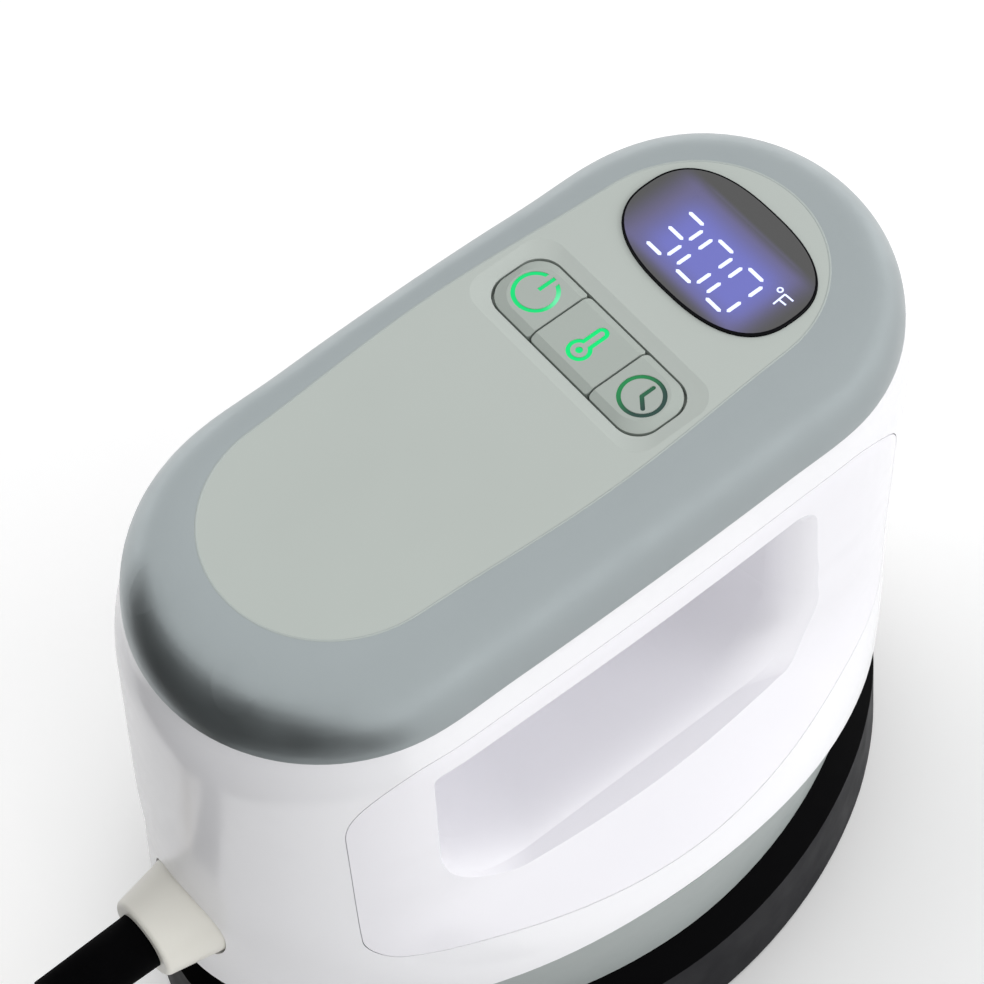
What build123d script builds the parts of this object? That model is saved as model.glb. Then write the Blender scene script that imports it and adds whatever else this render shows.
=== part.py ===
from build123d import *
import os
from math import cos, pi, sin, sqrt, tan

os.makedirs("parts", exist_ok=True)

# A mini handheld heat press standing in its insulated stand.
# Millimetres. Origin: centre of the face that the stand rests on. +X points to the nose, where the
# display is, +Y to the left and +Z up. The mains cord leaves the heel, at -X.

# ---- Driving dimensions ----

# Outlines in plan. The body is a stadium under the cap and an ellipse at its foot.
BODY_LENGTH = 113.7
BODY_END_RADIUS = 25.6
BODY_SIDE_BULGE = 0.5
BODY_SHIFT = 0.5
SHELL_PROUD = 1.4
SHELL_PROUD_DROP = 10.0
BASE_LENGTH = 115.7
BASE_WIDTH = 82.9
BASE_SHIFT = -2.0
BASE_POWER = 1.91
UPPER_FLARE = 0.2
SHOULDER_DROP = 16.0
SHOULDER_RISE = 2.3
OUTLINE_POINTS = 36
BODY_SECTIONS = 18

# The stand, from the table up.
GRIP_PAD_MARGIN = 9.0
GRIP_PAD_THICKNESS = 1.8
GRIP_PAD_RECESS = 1.0
TRAY_WALL_HEIGHT = 13.7
TRAY_FLOOR = 2.5
TRAY_WALL = 3.2
TRAY_FOOT_MARGIN = 1.1
TRAY_TOP_MARGIN = 0.35
RIM_HEIGHT = 3.9
RIM_WALL = 2.6
PAD_THICKNESS = 3.0
LIFT_CLEARANCE = 0.3

# The press, from the plate up.
PLATE_LENGTH = 100.0
PLATE_WIDTH = 68.0
PLATE_THICKNESS = 8.0
PLATE_EDGE = 1.5
ELEMENT_RADIUS = 2.6
ELEMENT_HALF_GAUGE = 18.0
ELEMENT_LEG_BACK = 29.0
ELEMENT_BEND_X = 15.0
TERMINAL_LENGTH = 6.0
TERMINAL_RADIUS = 0.9
BLANKET_THICKNESS = 2.5
SHIELD_LENGTH = 95.0
SHIELD_WIDTH = 62.0
SHIELD_SHEET = 0.8
SENSOR_WINDOW = (30.0, 20.0)
SENSOR_X = -9.0
SENSOR_Y = 4.2
FUSE_RADIUS = 2.0
FUSE_LENGTH = 14.0
THERMISTOR_RADIUS = 1.6
THERMISTOR_LENGTH = 10.0
SENSOR_CLIP = (4.0, 16.0, 1.0)
CLIP_LEG = 1.2
SKIRT_HEIGHT = 6.0
SKIRT_INSET = 3.05
SKIRT_REVEAL = 0.25
SKIRT_WALL = 2.5
SKIRT_FLANGE = 3.4
SKIRT_FLANGE_THICKNESS = 2.5
EDGE_RISE = 13.9
SHELL_HEIGHT = 67.3
SHELL_WALL = 2.2
FRAME_THICKNESS = 3.0
FRAME_WINDOW = (26.0, 16.0)

# The grip and the finger opening under it.
GRIP_BAND = 8.2
OPENING_HEIGHT = 33.1
OPENING_BACK = 31.5
OPENING_FRONT = 20.5
OPENING_LEAN = 3.4
OPENING_MOUTH = 27.6
OPENING_SOFT_DEPTH = 5.0
OPENING_SOFT_BACK = 1.6
OPENING_SOFT_FRONT = 5.0
OPENING_SOFT_FLOOR = 1.1
OPENING_SOFT_LIMIT = 0.95
OPENING_FLARE = 3.4
OPENING_HEEL_TOP_CORNER = 1.2
OPENING_TOE_TOP_CORNER = 4.0
OPENING_HEEL_LOW_CORNER = 15.0
OPENING_TOE_LOW_CORNER = 12.0
LINER_WALL = 2.0
LINER_BACK = 46.4
LINER_FRONT = 44.6
LINER_TOP_DROP = 4.5
LINER_TOP_CORNER = 12.5
LINER_LOW_CORNER = 4.5
LINER_LOW_DROP = 48.0
LINER_LOW_SAG = 1.8
LINER_SEAM = 0.1

# The cap, its panel and what shows through it.
CAP_HEIGHT = 12.3
CAP_POWER = 2.05
CAP_WALL = 2.0
PANEL_LENGTH = 92.1
PANEL_END_RADIUS = 16.7
PANEL_SIDE_BULGE = 1.65
PANEL_SHIFT = 0.6
PANEL_THICKNESS = 2.0
PANEL_LEDGE = 2.0
PANEL_GAP = 0.08
KEY_ROW_X = 11.85
KEY_WIDTH = 9.9
KEY_ROW_LENGTH = 29.7
KEY_MIDDLE_LENGTH = 11.0
KEY_GAP = 0.3
KEY_CORNER = 3.6
KEY_DISH = 0.6
KEY_BEVEL = 1.1
WELL_DEPTH = 0.6
WELL_BEVEL = 1.9
KEY_FLANGE = 0.7
KEY_FLANGE_THICKNESS = 0.8
KEY_TRAVEL = 0.6
KEY_STEM_RADIUS = 1.8
KEY_STEM_LENGTH = 1.2
KEY_FLANGE_ROOM = 0.2
KEY_INNER_CORNER = 0.5
ICON_SIZE = 6.4
ICON_LINE = 0.6
ICON_DEPTH = 0.5
ICON_SINK = 0.15
ICON_POWER_GAP = 1.9
ICON_POWER_BAR = 2.7
ICON_BULB_RADIUS = 1.7
ICON_TUBE_WIDTH = 1.9
ICON_DOT_RADIUS = 0.5
ICON_HAND = 1.9
ICON_HOUR_TURN = -127.0
LENS_X = 33.5
LENS_LENGTH = 18.5
LENS_WIDTH = 28.2
LENS_POWER = 2.55
LENS_GAP = 0.08
LENS_RAISE = 0.4
MODULE_MARGIN = 1.6

# Electronics.
BOARD_THICKNESS = 1.6
CONTROL_BOARD_BACK = 13.0
CONTROL_BOARD_FRONT = 44.6
CONTROL_BOARD_WIDTH = 31.0
CONTROL_BOARD_CORNER = 6.0
BOARD_POSTS = ((-9.5, 12.0), (-9.5, -12.0), (20.6, 12.6), (20.6, -12.6))
BOARD_POST_RADIUS = 2.2
BOARD_SCREW_RADIUS = 0.95
BOARD_SCREW_BITE = 3.5
BOARD_SCREW_HEAD = (1.9, 1.3)
SWITCH_SIZE = 6.0
SWITCH_HEIGHT = 3.5
SWITCH_PLUNGER_RADIUS = 1.7
SWITCH_PLUNGER_RISE = 1.0
SWITCH_CLEARANCE = 0.05
LED_RADIUS = 1.0
LED_HEIGHT = 1.6
LED_OFFSET = 4.1
BUZZER_RADIUS = 6.0
BUZZER_HEIGHT = 5.0
TILT_SENSOR = (7.0, 6.0, 4.0)
TILT_SENSOR_X = 30.0
CONTROLLER_CHIP = (9.0, 9.0, 1.4)
CONTROLLER_CHIP_X = 14.0
RIBBON_SOCKET = (4.0, 7.0, 4.6)
RIBBON_Y = -11.5
RIBBON_WIDTH = 5.0
RIBBON_THICKNESS = 0.8
RIBBON_CLEARANCE = 1.4
RIBBON_BOARD_X = -26.6
RIBBON_RISE_X = -39.0
RIBBON_SOCKET_X = -3.0
POWER_BOARD_LENGTH = 56.0
POWER_BOARD_WIDTH = 42.0
POWER_BOARD_STANDOFF = 4.0
RELAY = (15.0, 19.0, 12.5)
CAPACITOR_RADIUS = 5.0
CAPACITOR_HEIGHT = 11.0
TERMINAL_BLOCK = (9.0, 22.0, 10.0)
TERMINAL_BLOCK_X = -20.0
RELAY_X = 12.0
CAPACITOR_X = -5.0
CAPACITOR_Y = 8.0

# Screws and posts.
CLEARANCE = 0.3
POST_RADIUS = 3.0
SCREW_RADIUS = 1.45
SCREW_HOLE = 1.5
SCREW_HEAD_RADIUS = 2.6
SCREW_HEAD_HEIGHT = 1.8
SCREW_SLOT = (3.4, 0.7, 1.4)
SCREW_SEAT_ROOM = 0.2
SCREW_TIP_ROOM = 0.5
CAP_SCREW_X = 50.4
CAP_SCREW_Y = 8.5
CAP_POST_DEPTH = 13.0
CAP_SCREW_GRIP = 6.0
PLATE_SCREWS = ((-36.0, 0.0), (39.6, 0.0), (-5.0, 25.0), (-5.0, -25.0))
PLATE_SCREW_BITE = 5.0

# The mains cord and its entry.
BOSS_HEIGHT = 37.5
BOSS_FOOT_RADIUS = 7.6
BOSS_END_RADIUS = 5.9
BOSS_REACH = 66.2
BOSS_FLANGE_RADIUS = 8.6
BOSS_FLANGE = 1.8
BOSS_FLANGE_GAP = 2.0
RELIEF_INNER_X = -51.0
RELIEF_RADIUS = 4.1
RELIEF_TIP_RADIUS = 3.65
RELIEF_REACH = 92.0
RELIEF_GROOVES = 3
RELIEF_GROOVE_START = -81.0
RELIEF_GROOVE_PITCH = 3.2
RELIEF_GROOVE_WIDTH = 1.2
RELIEF_GROOVE_DEPTH = 0.6
CORD_DIAMETER = 6.5
CLAMP_X = -45.5
CLAMP_LENGTH = 6.0
CLAMP_WIDTH = 19.0
CLAMP_THICKNESS = 4.5
CLAMP_SCREW_Y = 6.6
CLAMP_SPLIT = 0.3
LEAD_RADIUS = 1.1
LEAD_BEND = 4.0
LEAD_ROOM = 0.6
COIL_CENTRE = (-186.0, -3.0)
COIL_INNER_RADIUS = 23.4
COIL_OUTER_RADIUS = 49.6
COIL_HEIGHT = 13.1
PLUG_LENGTH = 26.0
PLUG_WIDTH = 20.0
PLUG_HEIGHT = 12.0
PLUG_NECK = 12.0
PLUG_TURN = -20.0
PLUG_CORNER = 2.5
PIN_LENGTH = 16.0
PIN_WIDTH = 6.3
PIN_THICKNESS = 1.5
PIN_GAUGE = 12.7

# ---- Heights worked out from them ----
tray_z = GRIP_PAD_THICKNESS - GRIP_PAD_RECESS
pad_z = tray_z + TRAY_FLOOR
plate_z = pad_z + PAD_THICKNESS + LIFT_CLEARANCE
plate_top_z = plate_z + PLATE_THICKNESS
element_z = plate_top_z
blanket_z = element_z + ELEMENT_RADIUS
shield_z = blanket_z + BLANKET_THICKNESS
rim_z = tray_z + TRAY_WALL_HEIGHT
rim_top_z = rim_z + RIM_HEIGHT
skirt_z = rim_top_z + LIFT_CLEARANCE
frame_z = skirt_z + SKIRT_FLANGE_THICKNESS
frame_top_z = frame_z + FRAME_THICKNESS
edge_end_z = skirt_z + SKIRT_HEIGHT
edge_mid_z = edge_end_z + EDGE_RISE
parting_z = edge_end_z + SHELL_HEIGHT
grip_z = parting_z - GRIP_BAND
opening_floor_z = grip_z - OPENING_HEIGHT
shoulder_z = opening_floor_z + SHOULDER_RISE
panel_z = parting_z + CAP_HEIGHT
panel_under_z = panel_z - PANEL_THICKNESS
flange_top_z = panel_under_z - KEY_FLANGE_ROOM
key_under_z = flange_top_z - KEY_FLANGE_THICKNESS
switch_top_z = key_under_z - KEY_STEM_LENGTH - KEY_TRAVEL - SWITCH_CLEARANCE
board_top_z = switch_top_z - SWITCH_HEIGHT
board_z = board_top_z - BOARD_THICKNESS
power_board_z = frame_top_z + POWER_BOARD_STANDOFF
power_board_top_z = power_board_z + BOARD_THICKNESS
heater_lead_x = -ELEMENT_LEG_BACK - TERMINAL_LENGTH - LEAD_RADIUS
cord_radius = CORD_DIAMETER / 2


# ---- Outlines ----
def stadium_reach(cosine, sine, half_length, radius):
    """Distance from the centre to a stadium's edge, along a unit direction."""
    straight = half_length - radius
    across = radius / max(abs(sine), 1e-9)
    if across * abs(cosine) <= straight:
        return across
    return straight * abs(cosine) + sqrt(radius**2 - (straight * sine) ** 2)


def ellipse_reach(cosine, sine, half_length, half_width, power):
    """Distance from the centre to a superellipse's edge, along a unit direction."""
    along = (abs(cosine) / half_length) ** power
    across = (abs(sine) / half_width) ** power
    return (along + across) ** (-1 / power)


def directions():
    """Unit directions round an outline, closer together where it turns."""
    for i in range(OUTLINE_POINTS):
        x = 1.7 * cos(2 * pi * i / OUTLINE_POINTS)
        y = sin(2 * pi * i / OUTLINE_POINTS)
        size = sqrt(x * x + y * y)
        yield x / size, y / size


def bulged_stadium(cosine, sine, half_length, radius, bulge):
    """A stadium's edge point whose long sides bow outwards."""
    reach = stadium_reach(cosine, sine, half_length, radius)
    x = reach * cosine
    bow = 1 + bulge / radius * (1 - min(1, (x / half_length) ** 2)) ** 4
    return x, reach * sine * bow


def proud(z):
    """How far the shell swells beyond the parting line's outline at a height."""
    return SHELL_PROUD * sin(min(1, (parting_z - z) / SHELL_PROUD_DROP) * pi / 2)


def spacing(points):
    """Each point's share of the way round a closed outline, from 0 to 1."""
    pairs = zip(points, points[1:] + points[:1])
    lengths = [sqrt((b[0] - a[0]) ** 2 + (b[1] - a[1]) ** 2) for a, b in pairs]
    return [sum(lengths[:i]) / sum(lengths) for i in range(len(points) + 1)]


OUTLINE_SPACING = spacing([
    bulged_stadium(cosine, sine, BODY_LENGTH / 2, BODY_END_RADIUS, BODY_SIDE_BULGE)
    for cosine, sine in directions()
])


def flare_share(z):
    """How far the body has opened from the cap's stadium to the base's ellipse at a height."""
    lean = min(1, max(0, (parting_z - z) / (parting_z - edge_mid_z)))
    step = min(1, max(0, (shoulder_z - z) / SHOULDER_DROP))
    return UPPER_FLARE * lean**1.5 + (1 - UPPER_FLARE) * step * step * (3 - 2 * step)


def body_middle(z):
    """How far the body's middle has moved from the parting line's to the base's at a height."""
    down = (parting_z - z) / (parting_z - edge_end_z)
    half = (BODY_LENGTH + (BASE_LENGTH - BODY_LENGTH) * down) / 2
    return BODY_SHIFT + (BASE_SHIFT - BODY_SHIFT) * down, half


def body_points(z, inset):
    """Points of the body's outline at a height, moved in by an inset."""
    centre, half = body_middle(z)
    grow = proud(z) - inset
    share = flare_share(z)
    points = []
    for cosine, sine in directions():
        x, y = bulged_stadium(
            cosine, sine, BODY_LENGTH / 2 + grow, BODY_END_RADIUS + grow, BODY_SIDE_BULGE
        )
        reach = ellipse_reach(cosine, sine, half - inset, BASE_WIDTH / 2 - inset, BASE_POWER)
        points.append((
            centre + x * (1 - share) + reach * cosine * share,
            y * (1 - share) + reach * sine * share,
        ))
    return points


def outline_face(points, z):
    """A face inside a smooth closed outline. Every outline shares one spacing, so lofts stay even."""
    places = [Vector(x, y, z) for x, y in points]
    return make_face(Edge.make_spline(places, periodic=True, parameters=OUTLINE_SPACING))


def body_face(z, inset=0.0):
    return outline_face(body_points(z, inset), z)


def body_solid(inset, low_z):
    """The body's outer form, or a form inside it, from a height up to the parting line."""
    step = (parting_z - low_z) / (BODY_SECTIONS - 1)
    return loft([body_face(parting_z - step * i, inset) for i in range(BODY_SECTIONS)])


def base_face(z, inset):
    """The base ellipse, moved in by an inset."""
    points = []
    for cosine, sine in directions():
        reach = ellipse_reach(
            cosine, sine, BASE_LENGTH / 2 - inset, BASE_WIDTH / 2 - inset, BASE_POWER
        )
        points.append((BASE_SHIFT + reach * cosine, reach * sine))
    return outline_face(points, z)


def base_taper(low_z, low_inset, high_z, high_inset):
    return loft([base_face(low_z, low_inset), base_face(high_z, high_inset)])


def cap_face(share, z, inset=0.0):
    """The cap's outline, from the parting line (share 0) to the panel (share 1)."""
    half = BODY_LENGTH / 2 + share * (PANEL_LENGTH - BODY_LENGTH) / 2 - inset
    radius = BODY_END_RADIUS + share * (PANEL_END_RADIUS - BODY_END_RADIUS) - inset
    bulge = BODY_SIDE_BULGE + share * (PANEL_SIDE_BULGE - BODY_SIDE_BULGE)
    points = []
    for cosine, sine in directions():
        x, y = bulged_stadium(cosine, sine, half, radius, bulge)
        points.append((x + BODY_SHIFT + share * (PANEL_SHIFT - BODY_SHIFT), y))
    return outline_face(points, z)


def cap_solid(inset, height):
    """The cap's rounded shoulder, or the hollow inside it."""
    faces = []
    for step in (0, 0.18, 0.38, 0.58, 0.78, 0.92, 1):
        angle = step * pi / 2
        share = 1 - cos(angle) ** (2 / CAP_POWER) if step < 1 else 1
        rise = sin(angle) ** (2 / CAP_POWER)
        faces.append(cap_face(share, parting_z + height * rise, inset))
    return loft(faces)


def panel_prism(z, height, inset=0.0):
    return extrude(cap_face(1, z, inset), height)


def superellipse_prism(centre_x, length, width, power, z, height):
    points = []
    for i in range(OUTLINE_POINTS):
        angle = 2 * pi * i / OUTLINE_POINTS
        reach = ellipse_reach(cos(angle), sin(angle), length / 2, width / 2, power)
        points.append((centre_x + reach * cos(angle), reach * sin(angle)))
    return extrude(Pos(0, 0, z) * make_face(Spline(*points, periodic=True)), height)


def upright(radius, z, height, x, y):
    """A round post, hole or disc standing at a place."""
    return Pos(x, y, z + height / 2) * Cylinder(radius, height)


def block(size, x, y, z):
    """A box on a height, centred on a place."""
    return Pos(x, y, z + size[2] / 2) * Box(*size)


def along_x(radius, low_x, high_x, z, y=0.0):
    """A round bar or hole along X."""
    return Pos((low_x + high_x) / 2, y, z) * Rot(0, 90, 0) * Cylinder(radius, high_x - low_x)


def screw(x, y, head_z, length, up=1):
    """A pan-head screw. up is 1 when its point is upwards and -1 when it points down."""
    shank = Cylinder(SCREW_RADIUS, length, align=(Align.CENTER, Align.CENTER, Align.MIN))
    head = Cylinder(
        SCREW_HEAD_RADIUS, SCREW_HEAD_HEIGHT, align=(Align.CENTER, Align.CENTER, Align.MAX)
    )
    bar = Pos(0, 0, -SCREW_HEAD_HEIGHT) * Box(*SCREW_SLOT)
    whole = shank + head - (bar + Rot(0, 0, 90) * bar)
    turn = Rot(0, 0, 0) if up > 0 else Rot(180, 0, 0)
    return Pos(x, y, head_z) * turn * whole


def save(node, *solids):
    """Write one node's solids to its STEP file."""
    shape = solids[0] if len(solids) == 1 else Compound(children=list(solids))
    export_step(shape, f"parts/{node}.step")


def corners(spacing_x, spacing_y):
    for sx in (-1, 1):
        for sy in (-1, 1):
            yield sx * spacing_x / 2, sy * spacing_y / 2


# ---- Stand ----
def make_stand():
    tray = base_taper(tray_z, -TRAY_FOOT_MARGIN, rim_z, -TRAY_TOP_MARGIN)
    tray -= extrude(base_face(pad_z, TRAY_WALL), TRAY_WALL_HEIGHT)
    tray -= extrude(base_face(tray_z, GRIP_PAD_MARGIN), GRIP_PAD_RECESS)
    save("stand_tray", tray)
    save("stand_grip_pad", extrude(base_face(0, GRIP_PAD_MARGIN), GRIP_PAD_THICKNESS))
    rim = base_taper(rim_z, -TRAY_TOP_MARGIN, rim_top_z, SKIRT_INSET)
    rim -= extrude(base_face(rim_z, SKIRT_INSET + RIM_WALL), RIM_HEIGHT)
    save("stand_rim", rim)
    save("stand_pad", extrude(base_face(pad_z, TRAY_WALL + CLEARANCE), PAD_THICKNESS))


# ---- Heater ----
def element_path(z):
    """The bent heating rod's centre line: two straight legs and a half turn at the nose."""
    g = ELEMENT_HALF_GAUGE
    back = Line((-ELEMENT_LEG_BACK, -g), (ELEMENT_BEND_X, -g))
    bend = ThreePointArc((ELEMENT_BEND_X, -g), (ELEMENT_BEND_X + g, 0), (ELEMENT_BEND_X, g))
    front = Line((ELEMENT_BEND_X, g), (-ELEMENT_LEG_BACK, g))
    return Pos(0, 0, z) * Wire([back, bend, front])


def rod(path, radius):
    section = Plane(path @ 0, z_dir=path % 0) * Circle(radius)
    return sweep(section, path=path)


def plate_face(length, width, z):
    return Pos(BASE_SHIFT, 0, z) * make_face(Ellipse(length / 2, width / 2).edges())


def make_heater():
    path = element_path(element_z)
    plate = extrude(plate_face(PLATE_LENGTH, PLATE_WIDTH, plate_z), PLATE_THICKNESS)
    plate = chamfer(plate.edges().group_by(Axis.Z)[0], PLATE_EDGE)
    plate -= rod(path, ELEMENT_RADIUS + 0.02)
    element = rod(path, ELEMENT_RADIUS)
    blanket = extrude(
        plate_face(SHIELD_LENGTH - 4, SHIELD_WIDTH - 4, blanket_z), BLANKET_THICKNESS
    )
    shield_height = shield_z + SHIELD_SHEET - plate_top_z
    shield = extrude(plate_face(SHIELD_LENGTH, SHIELD_WIDTH, plate_top_z), shield_height)
    shield -= extrude(
        plate_face(SHIELD_LENGTH - 2 * SHIELD_SHEET, SHIELD_WIDTH - 2 * SHIELD_SHEET, plate_top_z),
        shield_z - plate_top_z,
    )
    window = block((*SENSOR_WINDOW, shield_height), SENSOR_X, 0, plate_top_z)
    blanket -= window
    shield -= window
    for side in (-1, 1):
        way = upright(
            LEAD_RADIUS + LEAD_ROOM, plate_top_z, shield_height + SHIELD_SHEET, heater_lead_x,
            side * ELEMENT_HALF_GAUGE,
        )
        blanket -= way
        shield -= way
    sleeves = []
    screws = []
    for x, y in PLATE_SCREWS:
        plate -= upright(SCREW_HOLE, plate_top_z - PLATE_SCREW_BITE, PLATE_SCREW_BITE, x, y)
        blanket -= upright(POST_RADIUS + CLEARANCE, blanket_z, BLANKET_THICKNESS, x, y)
        shield -= upright(POST_RADIUS + CLEARANCE, shield_z, SHIELD_SHEET, x, y)
        sleeve = upright(POST_RADIUS, plate_top_z, frame_z - plate_top_z, x, y)
        sleeves.append(sleeve - upright(SCREW_HOLE, plate_top_z, frame_z - plate_top_z, x, y))
        length = frame_top_z - plate_top_z + PLATE_SCREW_BITE - SCREW_TIP_ROOM
        screws.append(screw(x, y, frame_top_z, length, up=-1))
    terminals = []
    for side in (-1, 1):
        x = -ELEMENT_LEG_BACK - TERMINAL_LENGTH
        z = plate_top_z + TERMINAL_RADIUS + 0.2
        pin = along_x(TERMINAL_RADIUS, x, -ELEMENT_LEG_BACK, z, side * ELEMENT_HALF_GAUGE)
        terminals.append(pin)
    save("heat_plate", plate)
    save("heating_element", element)
    save("element_terminals", *terminals)
    save("insulation_blanket", blanket)
    save("heat_shield", shield)
    save("ceramic_standoffs", *sleeves)
    save("plate_screws", *screws)
    fuse = along_x(
        FUSE_RADIUS, SENSOR_X - FUSE_LENGTH / 2, SENSOR_X + FUSE_LENGTH / 2,
        plate_top_z + FUSE_RADIUS, SENSOR_Y,
    )
    sensor = along_x(
        THERMISTOR_RADIUS, SENSOR_X - THERMISTOR_LENGTH / 2, SENSOR_X + THERMISTOR_LENGTH / 2,
        plate_top_z + THERMISTOR_RADIUS, -SENSOR_Y,
    )
    save("thermal_fuse", fuse)
    save("thermistor", sensor)
    clip_z = plate_top_z + 2 * FUSE_RADIUS
    clip = block(SENSOR_CLIP, SENSOR_X, 0, clip_z)
    for side in (-1, 1):
        y = side * (SENSOR_CLIP[1] - CLIP_LEG) / 2
        clip += block((SENSOR_CLIP[0], CLIP_LEG, clip_z - plate_top_z), SENSOR_X, y, plate_top_z)
    gap = 2 * (FUSE_RADIUS - THERMISTOR_RADIUS)
    clip += block((SENSOR_CLIP[0], CLIP_LEG, gap), SENSOR_X, -SENSOR_Y, clip_z - gap)
    save("sensor_clip", clip)


# ---- Body ----
def wave_prism(reveal=0.0):
    """Everything under the shell's lower edge, which rises in a long arch on each side."""
    reach = BASE_LENGTH / 2 + 4
    drop = EDGE_RISE * (reach / (BASE_LENGTH / 2)) ** 2
    peak = edge_mid_z - reveal
    foot = peak - drop
    arch = Bezier(
        (BASE_SHIFT - reach, 0, foot), (BASE_SHIFT, 0, peak + drop), (BASE_SHIFT + reach, 0, foot)
    )
    low = foot - 40
    frame = Polyline(
        (BASE_SHIFT + reach, 0, foot),
        (BASE_SHIFT + reach, 0, low),
        (BASE_SHIFT - reach, 0, low),
        (BASE_SHIFT - reach, 0, foot),
    )
    return extrude(make_face([arch, *frame.edges()]), BASE_WIDTH, both=True)


def liner_prism(grow=0.0):
    """The grip liner's outline seen from the side, cut through the whole body."""
    top = parting_z - LINER_TOP_DROP + grow
    low = parting_z - LINER_LOW_DROP - grow
    back = -LINER_BACK - grow
    front = LINER_FRONT + grow
    sag = Bezier((back, 0, low), ((back + front) / 2, 0, low - 2 * LINER_LOW_SAG), (front, 0, low))
    sides = Polyline((front, 0, low), (front, 0, top), (back, 0, top), (back, 0, low))
    face = make_face([sag, *sides.edges()])
    face = fillet(face.vertices().group_by(Axis.Z)[-1], LINER_TOP_CORNER)
    face = fillet(face.vertices().group_by(Axis.Z)[0], LINER_LOW_CORNER)
    return extrude(face, BASE_WIDTH, both=True)


def mouth_share(y):
    """The mouth's rounding at a distance from the middle plane: a quarter round, then straight on."""
    depth = 1 - (OPENING_MOUTH - y) / OPENING_SOFT_DEPTH
    turned = min(max(0, depth), OPENING_SOFT_LIMIT)
    left = sqrt(1 - turned**2)
    return 1 - left + max(0, depth - OPENING_SOFT_LIMIT) * turned / left


def opening_section(y, grow):
    """The finger opening's outline at a distance from the middle plane."""
    lean = OPENING_LEAN * min(1, y / OPENING_MOUTH) ** 2
    soft = mouth_share(y)
    back = -OPENING_BACK - lean - OPENING_SOFT_BACK * soft - grow
    front = OPENING_FRONT + lean + OPENING_SOFT_FRONT * soft + grow
    top = grip_z + grow
    low = opening_floor_z - OPENING_SOFT_FLOOR * min(soft, 0.9) - grow
    face = make_face(Polyline((back, low), (front, low), (front, top), (back, top), close=True))
    radii = (
        OPENING_HEEL_LOW_CORNER, OPENING_HEEL_TOP_CORNER, OPENING_TOE_LOW_CORNER,
        OPENING_TOE_TOP_CORNER,
    )
    for (x, z), radius in zip(((back, low), (back, top), (front, low), (front, top)), radii):
        corner = face.vertices().sort_by_distance((x, z, 0))[0]
        face = fillet(corner, radius + grow)
    return Plane(origin=(0, y, 0), x_dir=(1, 0, 0), z_dir=(0, -1, 0)) * face


def opening_solid(grow=0.0):
    """The left half of the finger opening, from the middle plane out past the side."""
    soft_from = OPENING_MOUTH - OPENING_SOFT_DEPTH
    turned = [sin(i * pi / 12) for i in range(5)] + [OPENING_SOFT_LIMIT]
    middle = [opening_section(soft_from * i / 3, grow) for i in range(4)]
    rounded = [opening_section(soft_from + OPENING_SOFT_DEPTH * share, grow) for share in turned]
    flared = [rounded[-1], opening_section(OPENING_MOUTH + OPENING_FLARE, grow)]
    return loft(middle) + loft(rounded) + loft(flared)


def make_body():
    outer = body_solid(0.0, skirt_z)
    inner = body_solid(SHELL_WALL, skirt_z - 1)
    skin = outer - inner
    shell = skin - wave_prism() - liner_prism(LINER_SEAM)
    shell -= along_x(BOSS_FOOT_RADIUS + 0.1, -BODY_LENGTH, -40, BOSS_HEIGHT)
    for sx in (-1, 1):
        for sy in (-1, 1):
            x = sx * CAP_SCREW_X
            y = sy * CAP_SCREW_Y
            post = upright(POST_RADIUS, parting_z - CAP_POST_DEPTH, CAP_POST_DEPTH, x, y)
            shell += post & outer
            shell -= upright(SCREW_HOLE, parting_z - CAP_POST_DEPTH, CAP_POST_DEPTH, x, y)
            room = SCREW_HEAD_HEIGHT + SCREW_SEAT_ROOM
            seat = parting_z - CAP_POST_DEPTH - room
            shell -= upright(SCREW_HEAD_RADIUS + SCREW_SEAT_ROOM, seat, room, x, y)
    save("outer_shell", shell)
    half = Pos(0, BASE_WIDTH / 2, 0) * Box(2 * BODY_LENGTH, BASE_WIDTH, 2 * panel_z)
    tunnel = opening_solid(LINER_WALL) & outer
    liner = (skin & liner_prism() & half) + tunnel - opening_solid()
    save("grip_liner_left", liner)
    save("grip_liner_right", mirror(liner, about=Plane.XZ))


def make_skirt():
    skirt = base_taper(skirt_z, SKIRT_INSET, edge_mid_z + 1, SKIRT_REVEAL)
    hollow = base_taper(
        skirt_z, SKIRT_INSET + SKIRT_WALL, edge_mid_z + 1, SKIRT_REVEAL + SKIRT_WALL
    )
    flange = extrude(base_face(skirt_z, SKIRT_INSET + 1), SKIRT_FLANGE_THICKNESS)
    flange -= extrude(
        base_face(skirt_z, SKIRT_INSET + SKIRT_WALL + SKIRT_FLANGE), SKIRT_FLANGE_THICKNESS
    )
    skirt = (skirt - hollow) & wave_prism(0.05)
    skirt += flange
    save("skirt_ring", skirt)


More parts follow.
